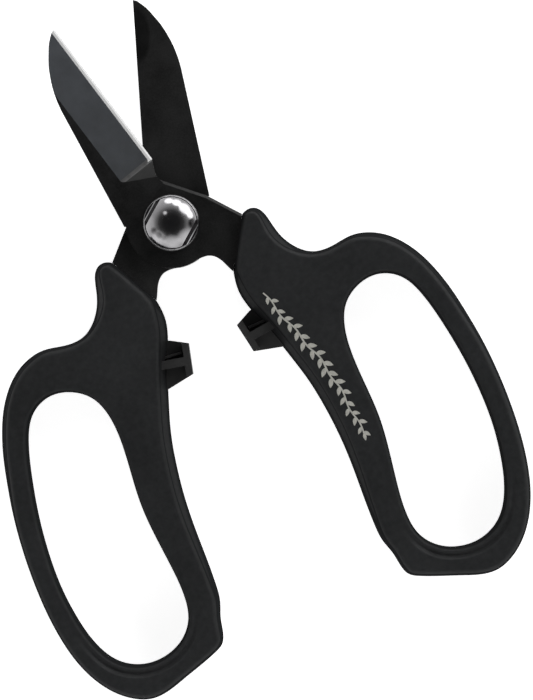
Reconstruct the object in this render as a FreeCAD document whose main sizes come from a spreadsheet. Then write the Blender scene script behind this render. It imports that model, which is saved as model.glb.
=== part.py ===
import FreeCAD, Part
import math
import os
import Sketcher
from FreeCAD import Matrix, Placement, Rotation, Vector

# Floral snips: two bypass blades on one pivot bolt, each with a moulded loop handle.
# Millimetres. Origin: on the pivot axis, in the plane the snips lie on.
# +Y runs from the pivot to the blade tips, midway between the open blades, +X to the right, +Z up
# through the bolt head. The open position is the one drawn. Both halves are the same forging and
# moulding: the lower half is the upper half turned over about the Y axis at mid thickness.

doc = FreeCAD.newDocument("floral_snips")

# ---------------------------------------------------------------- driving dimensions
sheet = doc.addObject("Spreadsheet::Sheet", "dims")
CELLS = [
    ("handle_thk", 13.0),        # thickness of a handle moulding
    ("mid_z", 6.5),              # plane where the two blades slide on each other
    ("blade_thk", 2.5),          # steel stock
    ("face_gap", 0.02),          # each blade's inner face stands this far off the sliding plane
    ("grip_round", 2.0),         # round along the outside of the handle
    ("loop_round", 1.2),         # round along the finger loop
    ("core_inset", 2.0),         # soft cover over the hard insert, in plan
    ("core_thk", 8.0),           # hard insert, in height
    ("stop_web", 2.6),           # web of the stop boss
    ("stop_thk", 8.0),           # front wall and rib of the stop boss, in height
    ("stop_wall", 1.8),          # front wall of the stop boss
    ("stop_rib", 2.2),           # rib of the stop boss
    ("stop_angle", 12.2),        # the stop face's angle from the mirror line, open
    ("tang_hole_r", 1.7),        # keying holes in the tang
    ("edge_land", 0.35),         # blade height where the wide bevel runs out
    ("edge_strip", 1.1),         # width of the bare cutting strip
    ("bevel_width", 10.1),       # cutting edge to where the bevel meets full thickness
    ("heel_fall", 23.3),         # slope of the heel facet, degrees
    ("heel_round", 4.0),         # round between bevel and heel facet
    ("neck_bevel", 0.7),         # broken edge along the neck
    ("pivot_bore_r", 3.55),      # round bore in the upper blade
    ("shank_r", 3.5),            # bolt shank
    ("shank_flats", 5.6),        # across the shank's two flats, in the lower blade
    ("slot_flats", 5.64),        # across the flats of the lower blade's hole
    ("head_r", 7.33),            # rim of the bolt head
    ("head_gap", 0.04),          # bolt head above the upper blade
    ("rim_thk", 0.9),            # rim of the bolt head
    ("dome_r", 7.0),             # dome, in plan
    ("dome_high", 3.1),          # dome above the rim
    ("head_flats", 10.7),        # across the two wrench flats
    ("thread_r", 2.95),          # threaded end
    ("nut_bore_r", 3.0),
    ("nut_flats", 10.0),
    ("nut_thk", 2.7),
    ("washer_r", 6.0),
    ("washer_bore_r", 3.6),
    ("washer_thk", 0.6),
    ("spring_r", 5.6),
    ("spring_thk", 0.35),
]
for row, (alias, value) in enumerate(CELLS, start=1):
    sheet.set("A%d" % row, alias)
    sheet.set("B%d" % row, str(value))
    sheet.setAlias("B%d" % row, alias)
doc.recompute()
D = dict((alias, float(sheet.get(alias))) for alias, _ in CELLS)

# ---------------------------------------------------------------- outlines, upper half, open
# handle, clockwise from the outer corner of the collar round the finger loop to the inner corner
GRIP = [
    (18.00, -4.20), (19.75, -3.50), (21.35, -3.65), (22.80, -4.75), (23.70, -6.60), (24.45, -9.60),
    (25.35, -12.60), (26.85, -15.40), (28.90, -17.80), (31.40, -19.50), (34.20, -20.15),
    (38.50, -19.82), (42.50, -19.25), (46.40, -19.85), (50.06, -21.50), (54.56, -25.43),
    (57.93, -30.37), (60.36, -35.85), (62.15, -41.57), (63.45, -47.43), (64.99, -56.29),
    (65.88, -65.23), (66.14, -74.21), (65.77, -83.19), (64.52, -92.09), (62.98, -97.88),
    (60.57, -103.37), (57.13, -108.27), (52.54, -112.08), (47.60, -113.90), (43.00, -113.45),
    (38.23, -111.90), (32.55, -109.97), (28.40, -108.40), (25.80, -106.85), (24.65, -104.40),
    (23.85, -100.40), (22.55, -96.60), (21.95, -91.60), (21.86, -84.00), (21.92, -76.15),
    (21.58, -67.17), (20.53, -58.24), (18.94, -50.20), (17.10, -44.00), (15.00, -37.60),
    (12.75, -31.60), (11.00, -26.80), (10.15, -22.60), (10.66, -17.40),
]
# finger loop, clockwise
LOOP = [
    (45.20, -31.10), (50.70, -33.60), (54.60, -40.40), (56.90, -49.00), (58.70, -58.80),
    (59.75, -69.50), (59.75, -78.90), (58.70, -87.30), (56.20, -96.10), (52.40, -101.70),
    (47.00, -104.55), (41.20, -104.70), (35.80, -102.50), (32.00, -98.00), (30.80, -91.80),
    (31.30, -83.50), (32.40, -74.50), (33.00, -65.50), (32.60, -57.50), (32.10, -48.50),
    (32.70, -41.30), (35.20, -35.40), (39.80, -32.00),
]
# blade, counter-clockwise from the heel of the cutting edge
HEEL = (1.15, 17.55)
TIP = (-10.90, 57.80)
SPINE = [(-11.80, 57.22), (-12.62, 56.05), (-13.42, 54.75), (-14.46, 52.28), (-15.47, 49.46), (-16.14, 46.54), (-16.56, 43.58),
         (-16.69, 40.58), (-16.49, 37.00)]
FLANK = (-11.75, 3.30)
DISC_R = 11.75
ARCH = [(1.90, -11.60), (4.40, -11.15), (6.60, -11.50), (8.60, -13.30), (9.80, -15.70), (10.66, -17.40)]
TANG_IN = [(11.63, -15.65), (13.30, -18.60), (14.30, -23.40), (16.00, -30.00), (18.60, -37.40),
           (21.00, -44.40), (22.70, -50.20)]
TANG_OUT = [(28.00, -49.40), (26.80, -40.50), (24.80, -30.40), (22.90, -20.60), (21.30, -13.40),
            (19.60, -8.60), (17.27, -5.50)]
NECK = [(18.00, -4.20), (11.20, 3.35), (5.00, 8.40), (3.20, 9.85), (1.15, 11.55), (0.72, 12.50)]
HEEL_STEP = [(0.62, 14.10)]
TANG_HOLES = [(18.20, -22.00), (22.90, -39.00)]

# ---------------------------------------------------------------- helpers
def plane_of(body, role):
    for f in body.Origin.OriginFeatures:
        if f.Role == role:
            return f
    raise ValueError(role)


def sketch_on(body, name, z=None, placement=None):
    """A sketch on the body's XY plane, raised by the expression z, or placed freely from it."""
    sk = body.newObject("Sketcher::SketchObject", name)
    sk.AttachmentSupport = (plane_of(body, "XY_Plane"), [""])
    sk.MapMode = "FlatFace"
    if placement is not None:
        sk.AttachmentOffset = placement
    if z is not None:
        sk.setExpression("AttachmentOffset.Base.z", z)
    return sk


def vec(p):
    return Vector(p[0], p[1], 0)


def polyline(sk, points, closed=True):
    n = len(points)
    last = n if closed else n - 1
    ids = [sk.addGeometry(Part.LineSegment(vec(points[i]), vec(points[(i + 1) % n])), False)
           for i in range(last)]
    for a, b in zip(ids, ids[1:]):
        sk.addConstraint(Sketcher.Constraint("Coincident", a, 2, b, 1))
    if closed:
        sk.addConstraint(Sketcher.Constraint("Coincident", ids[-1], 2, ids[0], 1))
    return ids


def spline(points, periodic=False, tangents=None):
    c = Part.BSplineCurve()
    c.interpolate(Points=[vec(p) for p in points], PeriodicFlag=periodic)
    return c


def circle(sk, centre, alias):
    g = sk.addGeometry(Part.Circle(vec(centre), Vector(0, 0, 1), D[alias]), False)
    sk.addConstraint(Sketcher.Constraint("Radius", g, D[alias]))
    sk.setExpression("Constraints[%d]" % (sk.ConstraintCount - 1), "dims." + alias)
    if centre == (0.0, 0.0):
        sk.addConstraint(Sketcher.Constraint("Coincident", g, 3, -1, 1))
    return g


def pad(body, name, sk, length, midplane=False, reverse=False):
    f = body.newObject("PartDesign::Pad", name)
    f.Profile = sk
    f.setExpression("Length", length)
    f.Midplane = midplane
    f.Reversed = reverse
    doc.recompute()
    return f


def pocket(body, name, sk, length=None, midplane=False, reverse=False):
    before = body.Shape.Volume
    f = body.newObject("PartDesign::Pocket", name)
    f.Profile = sk
    if length is None:
        f.Type = 1
    else:
        f.setExpression("Length", length)
    f.Midplane = midplane
    f.Reversed = reverse
    doc.recompute()
    if not body.Shape.Volume < before - 1e-3:
        raise RuntimeError("%s removed nothing" % name)
    return f


def new_body(name):
    b = doc.addObject("PartDesign::Body", name)
    doc.recompute()
    return b


def edges_where(shape, test):
    return ["Edge%d" % (i + 1) for i, e in enumerate(shape.Edges) if test(e)]


def inset(points, d, closed):
    """Points moved by d to the right of their direction of travel (inwards on a clockwise outline)."""
    out = []
    n = len(points)
    for i, p in enumerate(points):
        a = points[(i - 1) % n] if closed or i > 0 else p
        b = points[(i + 1) % n] if closed or i < n - 1 else p
        tx, ty = b[0] - a[0], b[1] - a[1]
        k = math.hypot(tx, ty)
        out.append((p[0] + ty / k * d, p[1] - tx / k * d))
    return out


# ---------------------------------------------------------------- blade
EDGE = Vector(TIP[0] - HEEL[0], TIP[1] - HEEL[1], 0).normalize()     # along the cutting edge
ACROSS = Vector(-EDGE.y, EDGE.x, 0)                                  # from the edge towards the spine
if ACROSS.x > 0:
    ACROSS = ACROSS * -1.0


def make_blade(name, keyed):
    body = new_body(name + "_body")
    base = D["mid_z"] + D["face_gap"]
    sk = sketch_on(body, name + "_outline", z="dims.mid_z + dims.face_gap")
    g = sk.addGeometry
    g(Part.LineSegment(vec(HEEL), vec(TIP)), False)
    g(Part.LineSegment(vec(TIP), vec(SPINE[0])), False)
    g(spline(SPINE), False)
    g(Part.LineSegment(vec(SPINE[-1]), vec(FLANK)), False)
    # round boss about the pivot, from the flank to the arch
    a0 = math.atan2(FLANK[1], FLANK[0])
    p0 = (DISC_R * math.cos(a0), DISC_R * math.sin(a0))
    a1 = math.atan2(ARCH[0][1], ARCH[0][0])
    p1 = (DISC_R * math.cos(a1), DISC_R * math.sin(a1))
    am = (a0 % (2 * math.pi) + a1 % (2 * math.pi)) / 2
    pm = (DISC_R * math.cos(am), DISC_R * math.sin(am))
    g(Part.LineSegment(vec(FLANK), vec(p0)), False)
    g(Part.Arc(vec(p0), vec(pm), vec(p1)), False)
    arch = [p1] + ARCH[1:]
    g(spline(arch), False)
    g(Part.LineSegment(vec(ARCH[-1]), vec(TANG_IN[0])), False)
    g(spline(TANG_IN), False)
    g(Part.LineSegment(vec(TANG_IN[-1]), vec(TANG_OUT[0])), False)
    g(spline(TANG_OUT), False)
    g(Part.LineSegment(vec(TANG_OUT[-1]), vec(NECK[0])), False)
    chain = NECK + HEEL_STEP + [HEEL]
    for a, b in zip(chain, chain[1:]):
        g(Part.LineSegment(vec(a), vec(b)), False)
    pad(body, name + "_stock", sk, "dims.blade_thk")

    # wide bevel and heel facet: one V-shaped cut along the line where the two planes meet
    slope = (D["blade_thk"] - D["edge_land"]) / D["bevel_width"]
    nb = Vector(-slope * ACROSS.x, -slope * ACROSS.y, 1).normalize()
    fall = math.tan(math.radians(D["heel_fall"]))
    nf2 = Vector(0.177, 0.984, 0)
    nf = Vector(fall * nf2.x, fall * nf2.y, 1).normalize()
    w = nb.cross(nf).normalize()
    x = nb.cross(w).normalize()
    if x.dot(EDGE) < 0:
        x = x * -1.0
    yv = w.cross(x)
    if yv.z < 0:
        w = w * -1.0
        yv = w.cross(x)
    m = Matrix(x.x, yv.x, w.x, 0, x.y, yv.y, w.y, 0, x.z, yv.z, w.z, 0, 0, 0, 0, 1)
    place = Placement(m)
    place.Base = Vector(HEEL[0], HEEL[1], base + D["edge_land"])
    up = nf.cross(w).normalize()              # up the heel facet, away from the tip
    if up.dot(EDGE) > 0:
        up = up * -1.0
    ux, uy = up.dot(x), up.dot(yv)
    r = D["heel_round"]
    ang = math.acos(max(-1.0, min(1.0, ux)))   # inside angle of the V
    reach = r / math.tan(ang / 2)
    t1 = (reach, 0.0)
    t2 = (ux * reach, uy * reach)
    bis = Vector(1 + ux, uy, 0).normalize()
    centre = (bis.x * r / math.sin(ang / 2), bis.y * r / math.sin(ang / 2))
    mid = (centre[0] - bis.x * r, centre[1] - bis.y * r)
    far = (ux * 40, uy * 40)
    vk = sketch_on(body, name + "_bevel_profile", placement=place)
    vk.addGeometry(Part.Arc(vec(t2), vec(mid), vec(t1)), False)
    vk.addGeometry(Part.LineSegment(vec(t1), vec((70.0, 0.0))), False)
    vk.addGeometry(Part.LineSegment(vec((70.0, 0.0)), vec((70.0, far[1] + 12))), False)
    vk.addGeometry(Part.LineSegment(vec((70.0, far[1] + 12)), vec((far[0], far[1] + 12))), False)
    vk.addGeometry(Part.LineSegment(vec((far[0], far[1] + 12)), vec(far)), False)
    vk.addGeometry(Part.LineSegment(vec(far), vec(t2)), False)
    pocket(body, name + "_bevel", vk, length="80", midplane=True)

    # bare cutting strip
    m2 = Matrix(ACROSS.x, 0, EDGE.x, 0, ACROSS.y, 0, EDGE.y, 0, 0, 1, 0, 0, 0, 0, 0, 1)
    if ACROSS.cross(Vector(0, 0, 1)).dot(EDGE) < 0:
        m2 = Matrix(ACROSS.x, 0, -EDGE.x, 0, ACROSS.y, 0, -EDGE.y, 0, 0, 1, 0, 0, 0, 0, 0, 1)
    place2 = Placement(m2)
    centre2 = Vector(HEEL[0], HEEL[1], 0) + EDGE * 24.75      # 50 mm long, from 0.25 mm below the heel
    place2.Base = Vector(centre2.x, centre2.y, base)
    high = D["edge_land"] + slope * D["edge_strip"]
    grade = (high - 0.03) / D["edge_strip"]
    sp = sketch_on(body, name + "_strip_profile", placement=place2)
    polyline(sp, [(-1.2, 0.03 - 1.2 * grade), (D["edge_strip"] + 1.0, high + grade * 1.0),
                  (-1.2, high + grade * 1.0)])
    pocket(body, name + "_strip", sp, length="50", midplane=True)

    # pivot hole
    hk = sketch_on(body, name + "_pivot_hole", z="dims.mid_z - 1")
    if keyed:
        r, s = D["shank_r"] + 0.03, D["slot_flats"] / 2
        c = math.sqrt(r * r - s * s)
        hk.addGeometry(Part.LineSegment(vec((-c, s)), vec((c, s))), False)
        hk.addGeometry(Part.Arc(vec((c, s)), vec((r, 0)), vec((c, -s))), False)
        hk.addGeometry(Part.LineSegment(vec((c, -s)), vec((-c, -s))), False)
        hk.addGeometry(Part.Arc(vec((-c, -s)), vec((-r, 0)), vec((-c, s))), False)
    else:
        circle(hk, (0.0, 0.0), "pivot_bore_r")
    pocket(body, name + "_pivot", hk, length="dims.blade_thk + 2", reverse=True)
    tk = sketch_on(body, name + "_tang_holes", z="dims.mid_z - 1")
    for c in TANG_HOLES:
        circle(tk, c, "tang_hole_r")
    pocket(body, name + "_keying", tk, length="dims.blade_thk + 2", reverse=True)

    # broken edge along the neck, on the outer face
    top = base + D["blade_thk"]
    ends = [vec(p) + Vector(0, 0, top) for p in NECK[:5]]

    def on_neck(e):
        if len(e.Vertexes) != 2:
            return False
        a, b = e.Vertexes[0].Point, e.Vertexes[1].Point
        return all(min((q - k).Length for k in ends) < 1e-4 for q in (a, b))

    tip = body.Tip
    ch = body.newObject("PartDesign::Chamfer", name + "_neck_edge")
    ch.Base = (tip, edges_where(tip.Shape, on_neck))
    ch.setExpression("Size", "dims.neck_bevel")
    doc.recompute()
    return body


# ---------------------------------------------------------------- handle
def stop_geometry():
    a = math.radians(D["stop_angle"])
    d = Vector(math.sin(a), -math.cos(a), 0)        # down the stop face, from the pivot
    n = Vector(d.y, -d.x, 0) * -1.0                 # from the face into the handle
    if n.x < 0:
        n = n * -1.0
    return d, n


def make_core(name):
    body = new_body(name + "_insert")
    outline = inset(GRIP[1:34] + GRIP[36:], D["core_inset"], False)
    first = (21.05, -5.75)
    last = (12.45, -18.35)
    outline = [first] + outline[3:-1] + [last]
    loop = inset(LOOP, -D["core_inset"], True)
    sk = sketch_on(body, name + "_outline", z="dims.mid_z")
    sk.addGeometry(spline(outline), False)
    sk.addGeometry(Part.LineSegment(vec(last), vec(first)), False)
    sk.addGeometry(spline(loop, True), False)
    pad(body, name + "_ring", sk, "dims.core_thk", midplane=True)
    d, n = stop_geometry()
    o = Vector(0, 0, 0)

    def at(along, inward):
        q = o + d * along + n * inward
        return (q.x, q.y)

    # stop boss: web at mid height, front wall and rib over the full height
    web = sketch_on(body, name + "_stop_web", z="dims.mid_z")
    polyline(web, [at(31.45, 0), at(39.55, 0), (15.9, -40.15), (18.6, -40.2), (15.8, -31.0), (13.6, -27.6), (11.0, -28.4)])
    pad(body, name + "_web", web, "dims.stop_web", midplane=True)
    t = D["stop_wall"]
    wall = sketch_on(body, name + "_stop_wall", z="dims.mid_z")
    polyline(wall, [at(31.45, 0), at(39.55, 0), at(39.75, t), at(31.25, t)])
    pad(body, name + "_wall", wall, "dims.stop_thk", midplane=True)
    rb = D["stop_rib"] / 2
    rib = sketch_on(body, name + "_stop_rib", z="dims.mid_z")
    polyline(rib, [at(35.9 - rb, t * 0.5), at(35.9 + rb, t * 0.5), at(36.3 + rb, 8.6), at(36.3 - rb, 8.6)])
    pad(body, name + "_rib", rib, "dims.stop_thk", midplane=True)
    return body


def make_grip(name):
    body = new_body(name + "_moulding")
    sk = sketch_on(body, name + "_outline")
    sk.addGeometry(spline(GRIP), False)
    sk.addGeometry(Part.LineSegment(vec(GRIP[-1]), vec(GRIP[0])), False)
    pad(body, name + "_block", sk, "dims.handle_thk")
    lk = sketch_on(body, name + "_loop")
    lk.addGeometry(spline(LOOP, True), False)
    pocket(body, name + "_finger_loop", lk, length="dims.handle_thk", reverse=True)
    thk = D["handle_thk"]

    def flat(e):
        zs = [v.Point.z for v in e.Vertexes]
        return all(abs(z) < 1e-6 for z in zs) or all(abs(z - thk) < 1e-6 for z in zs)

    def is_loop(e):
        bb = e.BoundBox
        return flat(e) and bb.XMin > 30.0 and bb.XMax < 60.5 and bb.YMax < -30.0

    tip = body.Tip
    f = body.newObject("PartDesign::Fillet", name + "_outer_round")
    f.Base = (tip, edges_where(tip.Shape, lambda e: flat(e) and not is_loop(e)))
    f.setExpression("Radius", "dims.grip_round")
    doc.recompute()
    tip = body.Tip
    f = body.newObject("PartDesign::Fillet", name + "_inner_round")
    f.Base = (tip, edges_where(tip.Shape, is_loop))
    f.setExpression("Radius", "dims.loop_round")
    doc.recompute()
    return body


def cut(name, base, tool):
    c = doc.addObject("Part::Cut", name)
    c.Base = base
    c.Tool = tool
    doc.recompute()
    return c


# ---------------------------------------------------------------- build both halves
TURN = Placement(Vector(0, 0, 2 * D["mid_z"]), Rotation(Vector(0, 1, 0), 180))
pieces = {}

for side, keyed, place, labels in (
    ("upper", False, Placement(), ("upper_blade", "right_core", "right_grip")),
    ("lower", True, TURN, ("lower_blade", "left_core", "left_grip")),
):
    blade = make_blade(side + "_steel", keyed)
    insert = make_core(side + "_hard")
    mould = make_grip(side + "_soft")
    for body in (blade, insert, mould):
        body.Placement = place
    doc.recompute()
    # the insert is moulded round the tang, and the soft cover round both
    core = cut(side + "_core", insert, blade)
    shell = cut(side + "_shell", mould, insert)
    grip = cut(side + "_grip", shell, blade)
    for obj, label in zip((blade, core, grip), labels):
        obj.Label = label
        pieces[label] = obj

# ---------------------------------------------------------------- pivot hardware
def turned(name, profile):
    """A turned piece: closed profile of (radius, z) points or arcs, revolved about the Z axis."""
    body = new_body(name + "_body")
    sk = body.newObject("Sketcher::SketchObject", name + "_profile")
    sk.AttachmentSupport = (plane_of(body, "XZ_Plane"), [""])
    sk.MapMode = "FlatFace"
    for geo in profile:
        sk.addGeometry(geo, False)
    doc.recompute()
    f = body.newObject("PartDesign::Revolution", name + "_turned")
    f.Profile = sk
    f.ReferenceAxis = (plane_of(body, "Z_Axis"), [""])
    f.Angle = 360
    doc.recompute()
    return body


def seg(a, b):
    return Part.LineSegment(vec(a), vec(b))


def ring(points):
    return [seg(points[i], points[(i + 1) % len(points)]) for i in range(len(points))]


z_top = D["mid_z"] + D["face_gap"] + D["blade_thk"]          # upper blade's outer face
z_under = D["mid_z"] - D["face_gap"] - D["blade_thk"]        # lower blade's outer face
hz = z_top + D["head_gap"]                                   # underside of the bolt head
rim = hz + D["rim_thk"]
crown = rim + D["dome_high"]
wall_top = rim + 0.9                                         # the dome springs from a short wall
dr = D["dome_r"]
arc_mid_r = dr * 0.62
rise = crown - wall_top
# circle through the wall's top corner and the crown, centred on the axis
big = (dr * dr + rise * rise) / (2 * rise)
arc_mid = (arc_mid_r, crown - (big - math.sqrt(big * big - arc_mid_r * arc_mid_r)))
key_z = z_under + 0.05
bolt = turned("pivot_bolt", [
    seg((0, 0), (D["thread_r"] - 0.5, 0)),
    seg((D["thread_r"] - 0.5, 0), (D["thread_r"], 0.5)),
    seg((D["thread_r"], 0.5), (D["thread_r"], key_z)),
    seg((D["thread_r"], key_z), (D["shank_r"], key_z)),
    seg((D["shank_r"], key_z), (D["shank_r"], hz)),
    seg((D["shank_r"], hz), (D["head_r"] - 0.2, hz)),
    seg((D["head_r"] - 0.2, hz), (D["head_r"], hz + 0.2)),
    seg((D["head_r"], hz + 0.2), (D["head_r"], rim - 0.25)),
    seg((D["head_r"], rim - 0.25), (D["head_r"] - 0.25, rim)),
    seg((D["head_r"] - 0.25, rim), (dr, rim)),
    seg((dr, rim), (dr, wall_top)),
    Part.Arc(vec((dr, wall_top)), vec(arc_mid), vec((0, crown))),
    seg((0, crown), (0, 0)),
])
# wrench flats on the head, cut down to the rim
HEAD_TURN = 40.9
fk = sketch_on(bolt, "head_flats_profile", placement=Placement(Vector(0, 0, rim), Rotation(Vector(0, 0, 1), HEAD_TURN)))
hf = D["head_flats"] / 2
polyline(fk, [(-9, hf), (9, hf), (9, 9), (-9, 9)])
polyline(fk, [(-9, -9), (9, -9), (9, -hf), (-9, -hf)])
pocket(bolt, "head_flats", fk, length="dims.dome_high + 2", reverse=True)
# flats of the shank where it stands in the lower blade
kk = sketch_on(bolt, "shank_flats_profile", z="dims.mid_z - dims.face_gap - dims.blade_thk")
sf = D["shank_flats"] / 2
polyline(kk, [(-5, sf), (5, sf), (5, 5), (-5, 5)])
polyline(kk, [(-5, -5), (5, -5), (5, -sf), (-5, -sf)])
pocket(bolt, "shank_flats", kk, length="dims.blade_thk", reverse=True)

washer = turned("flat_washer", ring([
    (D["washer_bore_r"], z_under - D["washer_thk"]), (D["washer_r"], z_under - D["washer_thk"]),
    (D["washer_r"], z_under), (D["washer_bore_r"], z_under)]))

zs1 = z_under - D["washer_thk"]
zs0 = D["nut_thk"]
tk_ = D["spring_thk"]
disc = turned("disc_spring", ring([
    (3.3, zs1 - tk_), (3.3, zs1), (D["spring_r"], zs0 + tk_), (D["spring_r"], zs0)]))

nut = new_body("lock_nut_body")
nk = sketch_on(nut, "nut_outline")
rr = D["nut_flats"] / 2 / math.cos(math.pi / 6)
polyline(nk, [(rr * math.cos(math.radians(60 * i + 12)), rr * math.sin(math.radians(60 * i + 12))) for i in range(6)])
circle(nk, (0.0, 0.0), "nut_bore_r")
pad(nut, "nut_block", nk, "dims.nut_thk")
# corners turned down on the outer face
ck = nut.newObject("Sketcher::SketchObject", "nut_corner_profile")
ck.AttachmentSupport = (plane_of(nut, "XZ_Plane"), [""])
ck.MapMode = "FlatFace"
for geo in ring([(rr - 0.75, -0.01), (rr + 1, -0.01), (rr + 1, 0.75)]):
    ck.addGeometry(geo, False)
doc.recompute()
before = nut.Shape.Volume
gr = nut.newObject("PartDesign::Groove", "nut_corners")
gr.Profile = ck
gr.ReferenceAxis = (plane_of(nut, "Z_Axis"), [""])
gr.Angle = 360
doc.recompute()
if not nut.Shape.Volume < before - 1e-3:
    raise RuntimeError("nut corners not cut")

for label, body in (("pivot_bolt", bolt), ("flat_washer", washer), ("disc_spring", disc), ("lock_nut", nut)):
    body.Label = label
    body.Placement = Placement()
    pieces[label] = body

# ---------------------------------------------------------------- check and write
doc.recompute()
for o in doc.Objects:
    if "Invalid" in o.State or "Error" in o.State:
        raise RuntimeError("%s failed: %s" % (o.Name, o.State))
os.makedirs("parts", exist_ok=True)
for label, obj in pieces.items():
    s = obj.Shape
    if s.isNull() or not s.isValid() or len(s.Solids) != 1:
        raise RuntimeError("%s is not one valid solid (%d)" % (label, len(s.Solids)))
for label, obj in pieces.items():
    s = obj.Shape
    s.exportStep("parts/%s.step" % label)
    bb = s.optimalBoundingBox()
    print("%-14s %9.1f mm3  x %.2f..%.2f  y %.2f..%.2f  z %.2f..%.2f"
          % (label, s.Volume, bb.XMin, bb.XMax, bb.YMin, bb.YMax, bb.ZMin, bb.ZMax))
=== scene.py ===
import math
import random

import bmesh
import bpy
import numpy as np
from mathutils import Matrix, Vector
from mathutils.bvhtree import BVHTree
from mathutils.geometry import delaunay_2d_cdt


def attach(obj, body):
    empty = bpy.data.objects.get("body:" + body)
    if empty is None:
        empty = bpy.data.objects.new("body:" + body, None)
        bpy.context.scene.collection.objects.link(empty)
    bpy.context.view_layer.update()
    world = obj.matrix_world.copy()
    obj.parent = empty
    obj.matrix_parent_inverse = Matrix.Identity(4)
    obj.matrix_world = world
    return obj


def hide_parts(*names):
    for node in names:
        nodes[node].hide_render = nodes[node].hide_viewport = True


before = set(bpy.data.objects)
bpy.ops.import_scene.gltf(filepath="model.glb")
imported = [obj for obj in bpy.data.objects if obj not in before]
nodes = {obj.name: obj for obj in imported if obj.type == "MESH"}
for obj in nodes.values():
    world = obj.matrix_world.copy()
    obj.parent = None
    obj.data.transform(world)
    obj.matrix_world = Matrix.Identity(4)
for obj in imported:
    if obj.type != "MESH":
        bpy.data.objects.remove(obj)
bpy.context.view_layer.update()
random.seed(11)
MM = 0.001
MID = 6.5                    # parting plane of the handles, mm
sc = bpy.context.scene

# --------------------------------------------------------------------------- outlines, mm, right half
GRIP = [
    (18.00, -4.20), (19.75, -3.50), (21.35, -3.65), (22.80, -4.75), (23.70, -6.60), (24.45, -9.60),
    (25.35, -12.60), (26.85, -15.40), (28.90, -17.80), (31.40, -19.50), (34.20, -20.15),
    (38.50, -19.82), (42.50, -19.25), (46.40, -19.85), (50.06, -21.50), (54.56, -25.43),
    (57.93, -30.37), (60.36, -35.85), (62.15, -41.57), (63.45, -47.43), (64.99, -56.29),
    (65.88, -65.23), (66.14, -74.21), (65.77, -83.19), (64.52, -92.09), (62.98, -97.88),
    (60.57, -103.37), (57.13, -108.27), (52.54, -112.08), (47.60, -113.90), (43.00, -113.45),
    (38.23, -111.90), (32.55, -109.97), (28.40, -108.40), (25.80, -106.85), (24.65, -104.40),
    (23.85, -100.40), (22.55, -96.60), (21.95, -91.60), (21.86, -84.00), (21.92, -76.15),
    (21.58, -67.17), (20.53, -58.24), (18.94, -50.20), (17.10, -44.00), (15.00, -37.60),
    (12.75, -31.60), (11.00, -26.80), (10.15, -22.60), (10.66, -17.40),
]
LOOP = [
    (45.20, -31.10), (50.70, -33.60), (54.60, -40.40), (56.90, -49.00), (58.70, -58.80),
    (59.75, -69.50), (59.75, -78.90), (58.70, -87.30), (56.20, -96.10), (52.40, -101.70),
    (47.00, -104.55), (41.20, -104.70), (35.80, -102.50), (32.00, -98.00), (30.80, -91.80),
    (31.30, -83.50), (32.40, -74.50), (33.00, -65.50), (32.60, -57.50), (32.10, -48.50),
    (32.70, -41.30), (35.20, -35.40), (39.80, -32.00),
]


def smoothstep(a, b, x):
    t = np.clip((np.asarray(x, float) - a) / (b - a), 0, 1)
    return t * t * (3 - 2 * t)


def cubic(points, closed, step):
    """Cubic spline through points, chord-length parameter, resampled evenly."""
    P = np.array(points, float)
    if closed:
        P = np.r_[P, P[:1]]
    h = np.linalg.norm(np.diff(P, axis=0), axis=1)
    t = np.r_[0, np.cumsum(h)]
    n = len(P)
    A = np.zeros((n, n))
    B = np.zeros((n, 2))
    for i in range(1, n - 1):
        A[i, i - 1], A[i, i], A[i, i + 1] = h[i - 1], 2 * (h[i - 1] + h[i]), h[i]
        B[i] = 6 * ((P[i + 1] - P[i]) / h[i] - (P[i] - P[i - 1]) / h[i - 1])
    if closed:
        A[0, 0], A[0, -1] = 1, -1
        A[-1, 0], A[-1, 1], A[-1, -2], A[-1, -1] = 2 * h[0], h[0], h[-1], 2 * h[-1]
        B[-1] = 6 * ((P[1] - P[0]) / h[0] - (P[-1] - P[-2]) / h[-1])
    else:
        A[0, 0] = A[-1, -1] = 1
    M = np.linalg.solve(A, B)
    out = []
    for i in range(n - 1):
        s = np.linspace(0, h[i], max(6, int(h[i] / 0.1)), endpoint=False)[:, None]
        a, b = M[i], M[i + 1]
        out.append(a * (h[i] - s) ** 3 / (6 * h[i]) + b * s ** 3 / (6 * h[i])
                   + (P[i] / h[i] - a * h[i] / 6) * (h[i] - s) + (P[i + 1] / h[i] - b * h[i] / 6) * s)
    out = np.vstack(out + [P[-1:]])
    return resample(out[:-1] if closed else out, step, closed)


def resample(P, step, closed):
    Q = np.r_[P, P[:1]] if closed else P
    d = np.r_[0, np.cumsum(np.linalg.norm(np.diff(Q, axis=0), axis=1))]
    n = max(8, int(round(d[-1] / step)))
    t = np.linspace(0, d[-1], n, endpoint=not closed)
    return np.c_[np.interp(t, d, Q[:, 0]), np.interp(t, d, Q[:, 1])]


def normals(P):
    """Unit normals to the right of travel on a closed outline."""
    T = np.roll(P, -1, 0) - np.roll(P, 1, 0)
    T /= np.linalg.norm(T, axis=1)[:, None]
    return np.c_[T[:, 1], -T[:, 0]]


def blur(v, k, passes=1):
    v = np.asarray(v, float)
    for _ in range(passes):
        acc = sum(np.roll(v, i, 0) for i in range(-k, k + 1))
        v = acc / (2 * k + 1)
    return v


def dist_to(P, Q):
    """Distance from each point of P to the closed polyline Q."""
    A = Q
    B = np.roll(Q, -1, 0)
    d = B - A
    L = (d * d).sum(1)
    best = np.full(len(P), 1e9)
    for s in range(0, len(P), 800):
        X = P[s:s + 800, None, :] - A[None]
        t = np.clip((X * d[None]).sum(2) / L[None], 0, 1)
        r = X - t[..., None] * d[None]
        best[s:s + 800] = np.sqrt((r * r).sum(2).min(1))
    return best


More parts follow.
